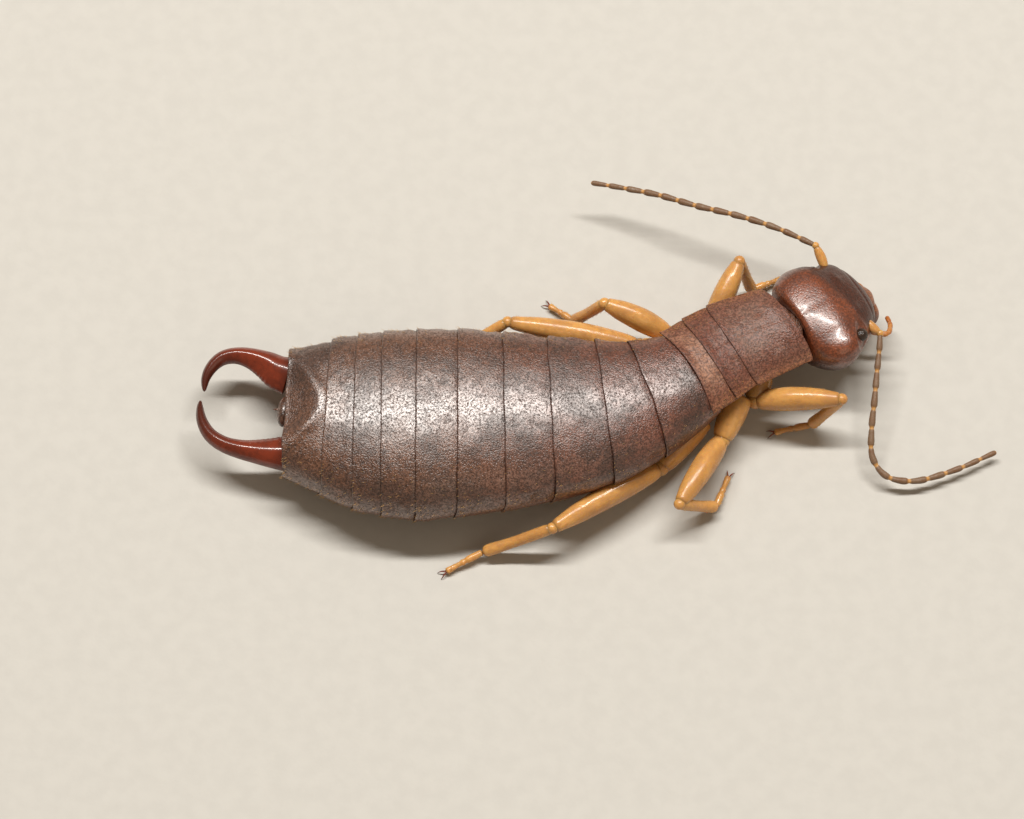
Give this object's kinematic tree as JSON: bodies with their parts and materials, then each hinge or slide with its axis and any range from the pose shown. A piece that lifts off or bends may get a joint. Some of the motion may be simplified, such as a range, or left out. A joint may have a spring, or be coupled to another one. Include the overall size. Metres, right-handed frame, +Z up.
{
  "type": "earwig",
  "caption": "Life-size still model of a wingless earwig at rest, its front half bent to one side, with curved tail forceps, jointed legs and beaded feelers.",
  "frame": {"origin": "middle of the animal's box, on the floor that its belly and feet rest on", "axes": "+X from the forceps towards the head, +Y to the animal's left, +Z up"},
  "size_m": [0.0182, 0.0094, 0.0024],
  "materials": {
    "abdomen_plates": "satin dark brown, finely pitted plates",
    "thorax_plates": "duller grey-brown with pale amber edges",
    "head_capsule": "polished red-brown",
    "eyes": "black, finely faceted",
    "mouthparts": "amber, slightly glossy",
    "antennae": "matte grey-brown with paler joints",
    "legs": "translucent-looking amber, satin",
    "forceps": "polished red-brown"
  },
  "bodies": {
    "root": {"abdomen_tip": "abdomen_plates", "abdomen_rear": "abdomen_plates", "abdomen_middle": "abdomen_plates", "abdomen_front": "abdomen_plates", "pygidium": "abdomen_plates", "metathorax": "thorax_plates", "mesothorax": "thorax_plates", "prothorax": "thorax_plates", "head": "head_capsule", "eye_left": "eyes", "eye_right": "eyes", "mouthparts": "mouthparts", "palp_left": "mouthparts", "palp_right": "mouthparts", "antenna_left_scape": "antennae", "antenna_left_inner": "antennae", "antenna_left_outer": "antennae", "antenna_right_scape": "antennae", "antenna_right_inner": "antennae", "antenna_right_outer": "antennae", "leg_front_left_coxa": "legs", "leg_front_left_femur": "legs", "leg_front_left_tibia": "legs", "leg_front_left_tarsus": "legs", "leg_front_right_coxa": "legs", "leg_front_right_femur": "legs", "leg_front_right_tibia": "legs", "leg_front_right_tarsus": "legs", "leg_middle_left_coxa": "legs", "leg_middle_left_femur": "legs", "leg_middle_left_tibia": "legs", "leg_middle_left_tarsus": "legs", "leg_middle_right_coxa": "legs", "leg_middle_right_femur": "legs", "leg_middle_right_tibia": "legs", "leg_middle_right_tarsus": "legs", "leg_hind_left_coxa": "legs", "leg_hind_left_femur": "legs", "leg_hind_left_tibia": "legs", "leg_hind_left_tarsus": "legs", "leg_hind_right_coxa": "legs", "leg_hind_right_femur": "legs", "leg_hind_right_tibia": "legs", "leg_hind_right_tarsus": "legs", "forceps_left": "forceps", "forceps_right": "forceps"}
  },
  "joints": []
}
